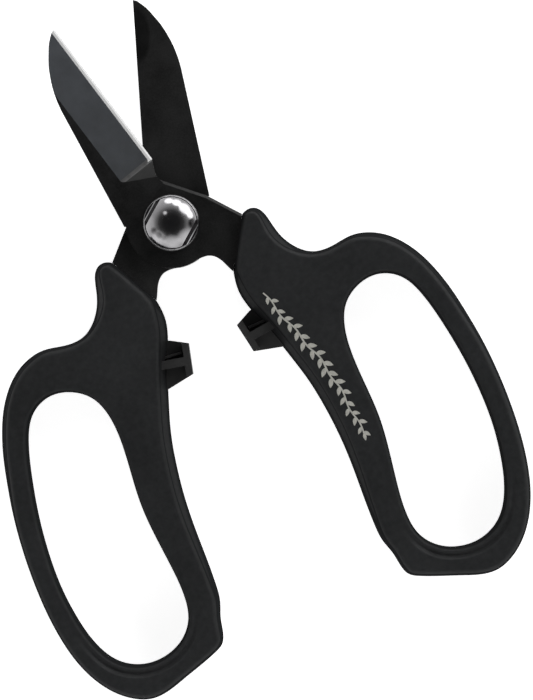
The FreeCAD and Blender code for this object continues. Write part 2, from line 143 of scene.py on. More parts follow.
def inside(P, Q):
    """Whether each point of P lies inside the closed polyline Q."""
    c = np.zeros(len(P), bool)
    A, B = Q, np.roll(Q, -1, 0)
    for (x1, y1), (x2, y2) in zip(A, B):
        if y1 == y2:
            continue
        hit = ((y1 > P[:, 1]) != (y2 > P[:, 1])) & (P[:, 0] < (x2 - x1) * (P[:, 1] - y1) / (y2 - y1) + x1)
        c ^= hit
    return c


def new_object(name, verts, faces, body, replaces=(), smooth=True):
    me = bpy.data.meshes.new(name)
    me.from_pydata([tuple(float(x) for x in v) for v in verts], [], [tuple(int(i) for i in f) for f in faces])
    me.validate(clean_customdata=False)
    me.update()
    o = bpy.data.objects.new(name, me)
    sc.collection.objects.link(o)
    if smooth:
        me.shade_smooth()
    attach(o, body)
    for n in replaces:
        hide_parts(n)
    return o


# --------------------------------------------------------------------------- grips
H_TOP = 6.24                 # half thickness at the rim of the flat, mm


def grip_mesh():
    """Right-hand grip: rings from the outer silhouette inwards, rings from the finger loop outwards, and a filled middle.
    Returns vertices in mm with z measured from the parting plane, and faces."""
    run = cubic(GRIP, False, 0.45)
    end = np.array([GRIP[-1], GRIP[0]], float)
    n_end = int(np.linalg.norm(end[1] - end[0]) / 0.45)
    line = end[0] + (end[1] - end[0]) * (np.arange(1, n_end) / n_end)[:, None]
    outer = resample(np.r_[run, line], 0.45, True)
    # soften the two corners of the collar end slightly
    soft = 0.25 * np.roll(outer, 1, 0) + 0.5 * outer + 0.25 * np.roll(outer, -1, 0)
    outer = soft
    loop = cubic(LOOP, True, 0.5)
    N = len(outer)
    no = normals(outer)
    nl = normals(loop)        # clockwise loop: to the right of travel is into the hole
    # local convex radius of the outer outline, limits how far rings may step in
    e1 = np.roll(outer, -2, 0) - outer
    e0 = outer - np.roll(outer, 2, 0)
    turn = (e0[:, 0] * e1[:, 1] - e0[:, 1] * e1[:, 0]) / (np.linalg.norm(e0, axis=1) * np.linalg.norm(e1, axis=1))
    kappa = -np.arcsin(np.clip(turn, -1, 1)) / (np.linalg.norm(e1, axis=1))      # + where convex
    R = 1 / np.maximum(blur(kappa, 3, 2), 1e-3)
    room = np.minimum(1.0, 0.56 * R / 2.9)
    room = np.minimum.reduce([np.roll(room, i) for i in range(-6, 7)])
    room = blur(room, 5, 3)
    # where along the outline: x, y of each point steers the section
    x, y = outer[:, 0], outer[:, 1]
    inner_leg = smoothstep(31, 25, x) * smoothstep(-104, -88, y)
    collar_end = np.zeros(N)
    ab = end[1] - end[0]
    tt = ((outer - end[0]) @ ab) / (ab @ ab)
    off = np.abs((outer - end[0]) @ np.array([ab[1], -ab[0]]) / np.linalg.norm(ab))
    collar_end = ((tt > -0.05) & (tt < 1.05) & (off < 0.4)).astype(float)
    collar_end = blur(collar_end, 4, 2)
    wall = 0.75 + 0.95 * inner_leg * smoothstep(-112, -60, y) + 0.25 * inner_leg
    wall = wall * (1 - collar_end) + 0.35 * collar_end
    shoulder = smoothstep(40, 48, x) * smoothstep(-62, -40, y)
    wall = wall + 0.55 * shoulder
    wall = blur(wall, 6, 2)
    rnd = blur(1.25 - 0.25 * inner_leg + 0.95 * collar_end, 6, 2)
    lay = []
    for f, hz in ((0.0, 0.0), (0.06, 0.22), (0.10, 0.9), (0.42, 2.6), (0.80, 4.1)):
        lay.append((f * wall, np.full(N, hz)))
    h0 = 4.75
    for k in range(0, 7):
        a = math.radians(90 * k / 6)
        lay.append((wall + rnd * (1 - math.cos(a)), h0 + (H_TOP - h0) * math.sin(a) * np.ones(N)))
    lay.append((wall + rnd + 0.35, np.full(N, H_TOP + 0.015)))
    V, F = [], []
    rings_o = []
    for d, hz in lay:
        P = outer + no * (d * room)[:, None]
        for _ in range(max(0, len(rings_o) - 4) // 2):
            P = 0.5 * P + 0.25 * (np.roll(P, 1, 0) + np.roll(P, -1, 0))
        rings_o.append((P, hz))
    # loop rings; the finger side of the lower arc is dished
    M = len(loop)
    lay = [(0.0, 0.0), (0.04, 0.25), (0.10, 1.5), (0.22, 3.2), (0.34, 4.6), (0.42, 5.15)]
    for k in range(1, 6):
        a = math.radians(90 * k / 5)
        lay.append((0.42 + 0.75 * (1 - math.cos(a)), 5.15 + (H_TOP - 5.15) * math.sin(a)))
    lay += [(d, H_TOP) for d in (1.45, 1.7, 1.95, 2.2, 2.45, 2.7, 2.95, 3.2, 3.45)]
    rings_l = [(loop - nl * d, np.full(M, h)) for d, h in lay]
    # filled middle
    O_in, L_out = rings_o[-1][0], rings_l[-1][0]
    xs = np.arange(8, 68, 1.15)
    ys = np.arange(-116, -2, 1.0)
    G = np.array([(gx + (0.575 if j % 2 else 0), gy) for j, gy in enumerate(ys) for gx in xs])
    ok = inside(G, O_in) & ~inside(G, L_out)
    G = G[ok]
    G = G[(dist_to(G, O_in) > 0.6) & (dist_to(G, L_out) > 0.6)]
    pts = [Vector(p) for p in np.r_[O_in, L_out, G]]
    edges = [(i, (i + 1) % N) for i in range(N)] + [(N + i, N + (i + 1) % M) for i in range(M)]
    cv, ce, cf, ov, oe, of_ = delaunay_2d_cdt(pts, edges, [], 1, 1e-6, True)
    # verts: ring stacks first
    base = []
    hs = []
    for P, hz in rings_o:
        base.append(P)
        hs.append(hz)
    for P, hz in rings_l:
        base.append(P)
        hs.append(hz)
    base.append(G)
    hs.append(np.full(len(G), H_TOP + 0.02))
    XY = np.vstack(base)
    Hh = np.concatenate(hs)
    ko, kl = len(rings_o), len(rings_l)
    off_l = ko * N
    off_g = off_l + kl * M
    faces = []
    for k in range(ko - 1):
        for i in range(N):
            j = (i + 1) % N
            faces.append((k * N + i, (k + 1) * N + i, (k + 1) * N + j, k * N + j))
    for k in range(kl - 1):
        for i in range(M):
            j = (i + 1) % M
            faces.append((off_l + k * M + i, off_l + k * M + j, off_l + (k + 1) * M + j, off_l + (k + 1) * M + i))
    def orig(i):
        s = ov[i]
        s = s[0] if len(s) else None
        if s is None:
            raise RuntimeError("middle fill made a new point")
        if s < N:
            return (ko - 1) * N + s
        if s < N + M:
            return off_l + (kl - 1) * M + (s - N)
        return off_g + (s - N - M)
    cen = np.array([np.mean([np.array(cv[i]) for i in f], axis=0) for f in cf])
    keep = inside(cen, O_in) & ~inside(cen, L_out)
    for f, kp in zip(cf, keep):
        if kp:
            faces.append(tuple(orig(i) for i in f))
    # relief of the flat: crown, dished lower finger edge, thumb hollow beside the upper loop
    do = dist_to(XY, outer)
    dl = dist_to(XY, loop)
    crown = 0.22 * smoothstep(2.5, 8.0, np.minimum(do, dl))
    X, Y = XY[:, 0], XY[:, 1]
    ang = np.degrees(np.arctan2(Y + 80.0, X - 46.0))            # about the lower loop's middle
    arc = smoothstep(-142, -116, ang) * smoothstep(-32, -74, ang)
    trough = 0.62 * arc * np.exp(-((dl - 2.05) / 0.62) ** 2)
    lip = 0.20 * arc * np.exp(-((dl - 3.25) / 0.50) ** 2)
    ang2 = np.degrees(np.arctan2(Y + 52.0, X - 44.0))
    up = np.where(ang2 > 0, smoothstep(108, 142, ang2), 0.0)
    dn = np.where(ang2 < 0, 1 - smoothstep(-172, -120, ang2), 0.0)
    near = np.maximum(up, dn)
    hollow = 0.55 * near * (1 - np.clip(dl / 6.5, 0, 1)) ** 2
    w = smoothstep(0.0, H_TOP, Hh) ** 1.5
    Hf = Hh + w * (crown + lip - trough - hollow)
    Vt = np.c_[XY, Hf]
    nv = len(Vt)
    Vb = Vt * np.array([1, 1, -1])
    # the silhouette ring and the loop ring are shared by both faces
    share = {}
    for i in range(N):
        share[nv + i] = i
    for i in range(M):
        share[nv + off_l + i] = off_l + i
    V = np.r_[Vt, Vb]
    F = list(faces) + [tuple(share.get(nv + i, nv + i) for i in reversed(f)) for f in faces]
    used = np.unique([i for f in F for i in f])
    remap = -np.ones(len(V), int)
    remap[used] = np.arange(len(used))
    V = V[used]
    F = [tuple(remap[i] for i in f) for f in F]
    return V, F


GV, GF = grip_mesh()


def place(V, half):
    """Row-frame metres for the upper half, or turned over for the lower half."""
    V = np.asarray(V, float)
    s = 1.0 if half == "upper" else -1.0
    return np.c_[V[:, 0] * s, V[:, 1], V[:, 2] * s + MID] * MM


# the lower half is the upper half turned over about the Y axis, which keeps the winding
right_grip = new_object("right_grip_cover", place(GV, "upper"), GF, "upper_half", ["right_grip"])
left_grip = new_object("left_grip_cover", place(GV, "lower"), GF, "lower_half", ["left_grip"])
for o in (right_grip, left_grip):
    bm = bmesh.new()
    bm.from_mesh(o.data)
    bmesh.ops.recalc_face_normals(bm, faces=bm.faces)
    bad = [e for e in bm.edges if not e.is_manifold]
    print(o.name, len(bm.verts), len(bm.faces), "open edges", len(bad), "volume cm3", round(bm.calc_volume() * 1e6, 2))
    bm.to_mesh(o.data)
    bm.free()
    o.data.shade_smooth()

# --------------------------------------------------------------------------- pivot bolt
def turned(bm, profile, n=96):
    """A closed turned solid about the Z axis from (r, z) points whose ends lie on the axis; returns its new faces."""
    rings = []
    for r, z in profile:
        if r < 1e-9:
            rings.append([bm.verts.new((0, 0, z))])
        else:
            rings.append([bm.verts.new((r * math.cos(2 * math.pi * k / n), r * math.sin(2 * math.pi * k / n), z)) for k in range(n)])
    made = []
    for A, B in zip(rings, rings[1:]):
        for k in range(n):
            j = (k + 1) % n
            if len(A) == 1:
                made.append(bm.faces.new((A[0], B[k], B[j])))
            elif len(B) == 1:
                made.append(bm.faces.new((A[k], A[j], B[0])))
            else:
                made.append(bm.faces.new((A[k], A[j], B[j], B[k])))
    return made


def arc_points(cx, cz, r, a0, a1, n):
    return [(cx + r * math.cos(math.radians(a0 + (a1 - a0) * k / n)), cz + r * math.sin(math.radians(a0 + (a1 - a0) * k / n)))
            for k in range(n + 1)]


HEAD_TURN = math.radians(40.9)
bm = bmesh.new()
# shank and end, plain where it runs through the blades, threaded in the nut
prof = [(0, 9.3), (3.5, 9.3), (3.5, 2.95), (3.30, 2.72), (2.97, 2.66)]
z = 2.6
while z > 0.62:
    prof += [(2.97, z), (2.66, z - 0.20), (2.66, z - 0.26), (2.97, z - 0.46)]
    z -= 0.50
prof += [(2.97, 0.42), (2.62, 0.06), (2.50, 0.0), (0, 0.0)]
turned(bm, prof, 64)
# rim with a steep chamfer
turned(bm, [(0, 9.06), (7.16, 9.06), (7.28, 9.10), (7.33, 9.20), (7.33, 9.34), (7.31, 9.39), (7.27, 9.45), (7.09, 9.70),
            (7.05, 9.735), (7.00, 9.75), (0, 9.75)], 128)


def milled(profile, n, half_width, bevel, segments, low, slope=None):
    """A turned solid with two flats, its upper edges broken; a closed bmesh. A slope (lean, top) leans the flats outwards."""
    b = bmesh.new()
    turned(b, profile, n)
    for sgn in (1, -1):
        no = Vector((math.sin(HEAD_TURN), -math.cos(HEAD_TURN), 0)) * sgn
        at = no * half_width
        if slope:
            at = at + Vector((0, 0, slope[1]))
            no = no * math.sin(slope[0]) + Vector((0, 0, math.cos(slope[0])))
        res = bmesh.ops.bisect_plane(b, geom=b.verts[:] + b.edges[:] + b.faces[:], plane_co=at, plane_no=no,
                                     clear_outer=True, dist=1e-5)
        cut = [e for e in res["geom_cut"] if isinstance(e, bmesh.types.BMEdge)]
        bmesh.ops.contextual_create(b, geom=cut)
    bmesh.ops.recalc_face_normals(b, faces=b.faces)
    edges = [e for e in b.edges if len(e.link_faces) == 2 and e.calc_face_angle(0) > math.radians(35)
             and max(v.co.z for v in e.verts) > low]
    if bevel:
        bmesh.ops.bevel(b, geom=edges, offset=bevel, segments=segments, affect="EDGES", clamp_overlap=True)
    return b


def add_mesh(target, b):
    tmp = bpy.data.meshes.new("tmp")
    b.to_mesh(tmp)
    b.free()
    target.from_mesh(tmp)
    bpy.data.meshes.remove(tmp)


# the middle of the rim stands a little higher than the strips where the mill has passed
add_mesh(bm, milled([(0, 9.60), (6.98, 9.60), (6.98, 9.80), (6.90, 9.90), (6.84, 9.92), (0, 9.92)], 128, 6.20, 0, 1, 9.85,
                    (math.radians(36), 9.92)))
# dome with two flats
R = 9.45
cap = [(0, 13.06)] + [(R * math.sin(math.radians(a)), 3.61 + R * math.cos(math.radians(a))) for a in np.linspace(1.5, 44.2, 30)]
rr, zz = cap[-1]
cap += [(rr + 0.05, zz - 0.06), (rr + 0.06, zz - 0.16), (rr + 0.06, 9.80), (0, 9.80)]
add_mesh(bm, milled(cap, 128, 5.35, 0.14, 3, 9.95))
bmesh.ops.recalc_face_normals(bm, faces=bm.faces)
bmesh.ops.scale(bm, vec=(MM, MM, MM), verts=bm.verts)
print("bolt open edges", len([e for e in bm.edges if not e.is_manifold]), "faces", len(bm.faces))
me = bpy.data.meshes.new("pivot_bolt_polished")
bm.to_mesh(me)
bm.free()
me.shade_smooth()
bolt = bpy.data.objects.new("pivot_bolt_polished", me)
sc.collection.objects.link(bolt)
me.set_sharp_from_angle(angle=math.radians(38))
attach(bolt, "lower_half")
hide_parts("pivot_bolt")

# --------------------------------------------------------------------------- printed leaf sprig
def sprig():
    """Thin raised print on the upper side of the right-hand grip: a wavy stem with leaves on alternate sides."""
    co = [v.co.copy() for v in right_grip.data.vertices]
    tree = BVHTree.FromPolygons([tuple(c) for c in co], [tuple(p.vertices) for p in right_grip.data.polygons])
    line = cubic([(15.9, -25.4), (18.96, -33.8), (22.3, -42.5), (24.9, -51.0), (26.45, -59.7), (27.6, -68.4)], False, 0.25)
    T = np.gradient(line, axis=0)
    T /= np.linalg.norm(T, axis=1)[:, None]
    Nn = np.c_[-T[:, 1], T[:, 0]]
    s_ = np.r_[0, np.cumsum(np.linalg.norm(np.diff(line, axis=0), axis=1))]
    L = s_[-1]
    stem = line + Nn * (0.34 * np.sin(s_ / L * math.pi * 9))[:, None]
    verts, faces = [], []

    def top(p):
        hit = tree.ray_cast(Vector((p[0] * MM, p[1] * MM, 0.02)), Vector((0, 0, -1)))[0]
        return hit.z / MM

    def plate(outline, t=0.045):
        """Closed thin plate on the surface; outline counter-clockwise, in mm."""
        k = len(verts)
        n = len(outline)
        c = np.mean(outline, axis=0)
        zs = [top(p) for p in outline]
        zc = top(c)
        for p, zz in zip(outline, zs):
            verts.append((p[0] * MM, p[1] * MM, (zz - 0.03) * MM))
        for p, zz in zip(outline, zs):
            verts.append((p[0] * MM, p[1] * MM, (zz + t) * MM))
        verts.append((c[0] * MM, c[1] * MM, (zc - 0.03) * MM))
        verts.append((c[0] * MM, c[1] * MM, (zc + t) * MM))
        b0, t0 = k + 2 * n, k + 2 * n + 1
        for i in range(n):
            j = (i + 1) % n
            faces.append((k + j, k + i, b0))
            faces.append((k + n + i, k + n + j, t0))
            faces.append((k + i, k + j, k + n + j, k + n + i))

    # stem as a chain of short plates sharing ends is simplest as one ribbon
    half = 0.17 + 0.05 * np.sin(s_ / L * math.pi)
    Ts = np.gradient(stem, axis=0)
    Ts /= np.linalg.norm(Ts, axis=1)[:, None]
    Ns = np.c_[-Ts[:, 1], Ts[:, 0]]
    left, right = stem + Ns * half[:, None], stem - Ns * half[:, None]
    k = len(verts)
    n = len(stem)
    for i in range(n):
        for p in (left[i], right[i]):
            zz = top(p)
            verts.append((p[0] * MM, p[1] * MM, (zz - 0.03) * MM))
            verts.append((p[0] * MM, p[1] * MM, (zz + 0.045) * MM))
    for i in range(n - 1):
        a = k + 4 * i
        c = a + 4
        faces.append((a + 1, a + 3, c + 3, c + 1))      # top
        faces.append((a + 0, c + 0, c + 2, a + 2))      # bottom
        faces.append((a + 0, a + 1, c + 1, c + 0))      # left
        faces.append((a + 2, c + 2, c + 3, a + 3))      # right
    faces.append((k, k + 2, k + 3, k + 1))
    e = k + 4 * (n - 1)
    faces.append((e, e + 1, e + 3, e + 2))

    def leaf(base, direction, length, width):
        d = direction / np.linalg.norm(direction)
        m = np.array([-d[1], d[0]])
        out = []
        K = 9
        for i in range(K + 1):
            t = i / K
            w = width / 2 * math.sin(math.pi * t) ** 0.8 * (1.15 - 0.5 * t)
            out.append(base + d * length * t - m * w)
        for i in range(K - 1, 0, -1):
            t = i / K
            w = width / 2 * math.sin(math.pi * t) ** 0.8 * (1.15 - 0.5 * t)
            out.append(base + d * length * t + m * w)
        plate(np.array(out))

    count = 15
    for q in range(count):
        t = 0.035 + 0.93 * q / (count - 1)
        i = int(t * (n - 1))
        size = 0.80 + 0.28 * math.sin(math.pi * t) + 0.06 * random.uniform(-1, 1)
        for side in (1, -1):
            i2 = min(n - 1, max(0, i + (5 if side > 0 else 0)))
            d = Ts[i2] * 0.72 + Ns[i2] * side * 0.70
            leaf(stem[i2] + Ns[i2] * side * 0.10, d, 2.45 * size, 1.22 * size)
    leaf(stem[-1] - Ts[-1] * 0.05, Ts[-1], 2.0, 0.95)
    return verts, faces


sv, sf = sprig()
print_ = new_object("leaf_sprig_print", sv, sf, "upper_half", smooth=False)
bm = bmesh.new()
bm.from_mesh(print_.data)
bmesh.ops.recalc_face_normals(bm, faces=bm.faces)
print("sprig open edges", len([e for e in bm.edges if not e.is_manifold]), "faces", len(bm.faces))
bm.to_mesh(print_.data)
bm.free()

# --------------------------------------------------------------------------- small ledges in the stops' upper pockets
ledges = []
for half, body in (("upper", "upper_half"), ("lower", "lower_half")):
    a_, b_ = np.array([9.25, -32.45]), np.array([15.6, -32.0])
    d = (b_ - a_) / np.linalg.norm(b_ - a_)
    m = np.array([-d[1], d[0]]) * 0.36
    foot = [a_ - m, b_ - m, b_ + m, a_ + m]
    head = [a_ - m * 0.75 + d * 0.1, b_ - m * 0.75, b_ + m * 0.75, a_ + m * 0.75 + d * 0.1]
    verts, faces = [], []
    for z0, z1 in ((1.2, 2.35), (-2.35, -1.2)):
        k = len(verts)
        lo, hi = (foot, head) if z0 > 0 else (head, foot)
        verts += [(p[0], p[1], z0) for p in lo] + [(p[0], p[1], z1) for p in hi]
        faces += [tuple(k + i for i in f) for f in ((3, 2, 1, 0), (4, 5, 6, 7), (0, 1, 5, 4), (1, 2, 6, 5), (2, 3, 7, 6), (3, 0, 4, 7))]
    o = new_object(half + "_stop_ledge", place(verts, half), faces, body, smooth=False)
    ledges.append(o)

# --------------------------------------------------------------------------- materials
def material(name):
    m = bpy.data.materials.new(name)
    m.use_nodes = True
    nt = m.node_tree
    b = nt.nodes["Principled BSDF"]
    return m, nt, b


def node(nt, kind, **inputs):
    n = nt.nodes.new(kind)
    for k, v in inputs.items():
        n.inputs[k].default_value = v
    return n


def coords(nt, scale=(1, 1, 1), rot=(0, 0, 0)):
    tc = nt.nodes.new("ShaderNodeTexCoord")
    mp = nt.nodes.new("ShaderNodeMapping")
    mp.inputs["Scale"].default_value = scale
    mp.inputs["Rotation"].default_value = rot
    nt.links.new(tc.outputs["Object"], mp.inputs["Vector"])
    return mp.outputs["Vector"]


def noise(nt, vec, scale, detail=4.0, rough=0.55):
    n = nt.nodes.new("ShaderNodeTexNoise")
    n.inputs["Scale"].default_value = scale
    n.inputs["Detail"].default_value = detail
    n.inputs["Roughness"].default_value = rough
    nt.links.new(vec, n.inputs["Vector"])
    return n.outputs["Fac"]


def ramp(nt, fac, stops):
    r = nt.nodes.new("ShaderNodeValToRGB")
    e = r.color_ramp.elements
    e[0].position, e[0].color = stops[0][0], stops[0][1]
    e[1].position, e[1].color = stops[-1][0], stops[-1][1]
    for p, c in stops[1:-1]:
        k = e.new(p)
        k.color = c
    nt.links.new(fac, r.inputs["Fac"])
    return r.outputs["Color"]


def maprange(nt, fac, a, b, c, d):
    m = nt.nodes.new("ShaderNodeMapRange")
    for k, v in zip(("From Min", "From Max", "To Min", "To Max"), (a, b, c, d)):
        m.inputs[k].default_value = v
    nt.links.new(fac, m.inputs["Value"])
    return m.outputs["Result"]


def bump(nt, height, strength, distance, prev=None):
    b = nt.nodes.new("ShaderNodeBump")
    b.inputs["Strength"].default_value = strength
    b.inputs["Distance"].default_value = distance
    nt.links.new(height, b.inputs["Height"])
    if prev is not None:
        nt.links.new(prev, b.inputs["Normal"])
    return b.outputs["Normal"]


def grey(v, tint=(1, 1, 1)):
    return (v * tint[0], v * tint[1], v * tint[2], 1)


COOL = (0.965, 1.0, 1.04)

# soft-touch elastomer
m_soft, nt, b = material("soft_touch_black")
v = coords(nt)
big = noise(nt, v, 55.0, 5.0)
fine = noise(nt, v, 5200.0, 2.0)
mid = noise(nt, v, 900.0, 3.0)
# the walls are painted darker than the broad faces, a painted shade on the side slopes, and they are more matt
tcn = nt.nodes.new("ShaderNodeTexCoord")
sepn = nt.nodes.new("ShaderNodeSeparateXYZ")
nt.links.new(tcn.outputs["Normal"], sepn.inputs["Vector"])
absn = nt.nodes.new("ShaderNodeMath")
absn.operation = "ABSOLUTE"
nt.links.new(sepn.outputs["Z"], absn.inputs[0])
painted_wall_shade_fac = maprange(nt, absn.outputs[0], 0.50, 0.94, 0.0, 1.0)
spots = noise(nt, v, 620.0, 3.0, 0.6)
tone = nt.nodes.new("ShaderNodeMath")
tone.operation = "ADD"
nt.links.new(maprange(nt, big, 0.3, 0.7, 0.0, 0.5), tone.inputs[0])
nt.links.new(maprange(nt, spots, 0.3, 0.7, 0.0, 0.5), tone.inputs[1])
light = ramp(nt, tone.outputs[0], [(0.1, grey(0.0180, COOL)), (0.9, grey(0.0292, COOL))])
painted_wall_shade_mix = nt.nodes.new("ShaderNodeMix")
painted_wall_shade_mix.data_type = "RGBA"
nt.links.new(painted_wall_shade_fac, painted_wall_shade_mix.inputs["Factor"])
# colour A, the darker one, is the walls' painted shade
painted_wall_shade_mix.inputs["A"].default_value = grey(0.0146, COOL)
nt.links.new(light, painted_wall_shade_mix.inputs["B"])
nt.links.new(painted_wall_shade_mix.outputs["Result"], b.inputs["Base Color"])
nt.links.new(maprange(nt, mid, 0.3, 0.7, 0.44, 0.56), b.inputs["Roughness"])
nt.links.new(maprange(nt, absn.outputs[0], 0.32, 0.94, 0.0, 0.16), b.inputs["Specular IOR Level"])
n1 = bump(nt, fine, 0.35, 0.00004)
nt.links.new(bump(nt, mid, 0.10, 0.00008, n1), b.inputs["Normal"])

# hard nylon
m_hard, nt, b = material("hard_nylon_black")
v = coords(nt)
nt.links.new(ramp(nt, noise(nt, v, 300.0), [(0.3, grey(0.027)), (0.7, grey(0.036))]), b.inputs["Base Color"])
nt.links.new(maprange(nt, noise(nt, v, 1200.0), 0.3, 0.7, 0.34, 0.46), b.inputs["Roughness"])
b.inputs["Specular IOR Level"].default_value = 0.4
nt.links.new(bump(nt, noise(nt, v, 3000.0, 2.0), 0.2, 0.00003), b.inputs["Normal"])

# the same nylon down in the pockets, painted darker: painted shade in the recesses
m_pocket_painted_shade, nt, b = material("hard_nylon_pocket")
v = coords(nt)
nt.links.new(ramp(nt, noise(nt, v, 300.0), [(0.3, grey(0.008)), (0.7, grey(0.013))]), b.inputs["Base Color"])
nt.links.new(maprange(nt, noise(nt, v, 1200.0), 0.3, 0.7, 0.5, 0.65), b.inputs["Roughness"])
b.inputs["Specular IOR Level"].default_value = 0.25
nt.links.new(bump(nt, noise(nt, v, 3000.0, 2.0), 0.2, 0.00003), b.inputs["Normal"])

# and the pocket floor below the rib, painted paler than the nylon: painted light
m_pocket_painted_light, nt, b = material("nylon_pocket_floor_painted_light")
v = coords(nt)
nt.links.new(ramp(nt, noise(nt, v, 420.0), [(0.3, grey(0.044)), (0.7, grey(0.060))]), b.inputs["Base Color"])
nt.links.new(maprange(nt, noise(nt, v, 1200.0), 0.3, 0.7, 0.42, 0.58), b.inputs["Roughness"])
b.inputs["Specular IOR Level"].default_value = 0.3
nt.links.new(bump(nt, noise(nt, v, 3000.0, 2.0), 0.2, 0.00003), b.inputs["Normal"])

# black fluorine coat on steel
def coat(name, lower_painted_light):
    m, nt, b = material(name)
    v = coords(nt)
    grain = noise(nt, v, 2300.0, 5.0, 0.7)
    cloud = noise(nt, v, 75.0, 4.0, 0.6)
    tone = nt.nodes.new("ShaderNodeMath")
    tone.operation = "ADD"
    nt.links.new(maprange(nt, grain, 0.35, 0.65, 0.0, 0.5), tone.inputs[0])
    nt.links.new(maprange(nt, cloud, 0.38, 0.62, 0.0, 0.5), tone.inputs[1])
    # the lower half's coat is painted paler than the upper half's: painted light
    dark, pale = (0.0098, 0.0240) if lower_painted_light else (0.0066, 0.0198)
    colour = ramp(nt, tone.outputs[0], [(0.12, grey(dark)), (0.88, grey(pale))])
    if lower_painted_light:
        # the half that lies under the other one: its neck is painted paler on the side that they share, painted light
        # that lifts the shade the upper blade and the collar cast there
        tc = nt.nodes.new("ShaderNodeTexCoord")
        sn = nt.nodes.new("ShaderNodeSeparateXYZ")
        nt.links.new(tc.outputs["Normal"], sn.inputs["Vector"])
        so = nt.nodes.new("ShaderNodeSeparateXYZ")
        nt.links.new(v, so.inputs["Vector"])
        painted_light_mask = nt.nodes.new("ShaderNodeMath")
        painted_light_mask.operation = "MULTIPLY"
        nt.links.new(maprange(nt, so.outputs["Y"], -0.001, -0.008, 0.0, 1.0), painted_light_mask.inputs[0])
        nt.links.new(maprange(nt, sn.outputs["Z"], 0.5, 0.9, 0.0, 1.0), painted_light_mask.inputs[1])
        mix = nt.nodes.new("ShaderNodeMix")
        mix.data_type = "RGBA"
        nt.links.new(painted_light_mask.outputs[0], mix.inputs["Factor"])
        nt.links.new(colour, mix.inputs["A"])
        nt.links.new(ramp(nt, tone.outputs[0], [(0.12, grey(0.020)), (0.88, grey(0.044))]), mix.inputs["B"])
        colour = mix.outputs["Result"]
        # an oval patch beside the edge, near the tip, is painted near full black: a painted dark reflection
        tip_reflection_oval = nt.nodes.new("ShaderNodeMapping")
        tip_reflection_oval.vector_type = "TEXTURE"
        tip_reflection_oval.inputs["Location"].default_value = (0.00877, 0.04882, 0.0)
        tip_reflection_oval.inputs["Rotation"].default_value = (0, 0, math.radians(72.7))
        tip_reflection_oval.inputs["Scale"].default_value = (0.0072, 0.0034, 1.0)
        nt.links.new(v, tip_reflection_oval.inputs["Vector"])
        reach = nt.nodes.new("ShaderNodeVectorMath")
        reach.operation = "LENGTH"
        nt.links.new(tip_reflection_oval.outputs["Vector"], reach.inputs[0])
        painted_dark_reflection = nt.nodes.new("ShaderNodeMath")
        painted_dark_reflection.operation = "MULTIPLY"
        nt.links.new(maprange(nt, reach.outputs["Value"], 0.84, 1.06, 1.0, 0.0), painted_dark_reflection.inputs[0])
        nt.links.new(maprange(nt, sn.outputs["Z"], 0.5, 0.9, 0.0, 1.0), painted_dark_reflection.inputs[1])
        mix = nt.nodes.new("ShaderNodeMix")
        mix.data_type = "RGBA"
        nt.links.new(painted_dark_reflection.outputs[0], mix.inputs["Factor"])
        nt.links.new(colour, mix.inputs["A"])
        nt.links.new(ramp(nt, tone.outputs[0], [(0.12, grey(0.0040)), (0.88, grey(0.0100))]), mix.inputs["B"])
        colour = mix.outputs["Result"]
    nt.links.new(colour, b.inputs["Base Color"])
    nt.links.new(maprange(nt, noise(nt, v, 420.0, 4.0), 0.3, 0.7, 0.28, 0.36), b.inputs["Roughness"])
    b.inputs["Specular IOR Level"].default_value = 0.24
    nt.links.new(bump(nt, grain, 0.22, 0.00003), b.inputs["Normal"])
    return m


m_coat = {"upper_blade": coat("coated_steel_black", False), "lower_blade": coat("coated_steel_black_lower_painted_light", True)}

# ground bevel under a thin coat
m_bevel, nt, b = material("ground_bevel_grey")
v = coords(nt, scale=(1, 1, 1), rot=(0, 0, math.radians(-17)))
v2 = coords(nt, scale=(3000, 120, 120), rot=(0, 0, math.radians(-17)))
lines = noise(nt, v2, 1.0, 3.0)
# paler towards the tip
sepb = nt.nodes.new("ShaderNodeSeparateXYZ")
nt.links.new(coords(nt), sepb.inputs["Vector"])
cloud = noise(nt, v, 160.0, 5.0)
mixb = nt.nodes.new("ShaderNodeMix")
mixb.data_type = "RGBA"
nt.links.new(maprange(nt, sepb.outputs["Y"], 0.016, 0.056, 0.0, 1.0), mixb.inputs["Factor"])
nt.links.new(ramp(nt, cloud, [(0.3, grey(0.053, (0.93, 1, 1.10))), (0.7, grey(0.070, (0.93, 1, 1.10)))]), mixb.inputs["A"])
nt.links.new(ramp(nt, cloud, [(0.3, grey(0.070, (0.93, 1, 1.12))), (0.7, grey(0.092, (0.93, 1, 1.12)))]), mixb.inputs["B"])
nt.links.new(mixb.outputs["Result"], b.inputs["Base Color"])
nt.links.new(maprange(nt, lines, 0.3, 0.7, 0.38, 0.50), b.inputs["Roughness"])
b.inputs["Metallic"].default_value = 0.35
nt.links.new(bump(nt, lines, 0.10, 0.00002), b.inputs["Normal"])

# heel round and facet
m_heel, nt, b = material("heel_facet_grey")
v = coords(nt)
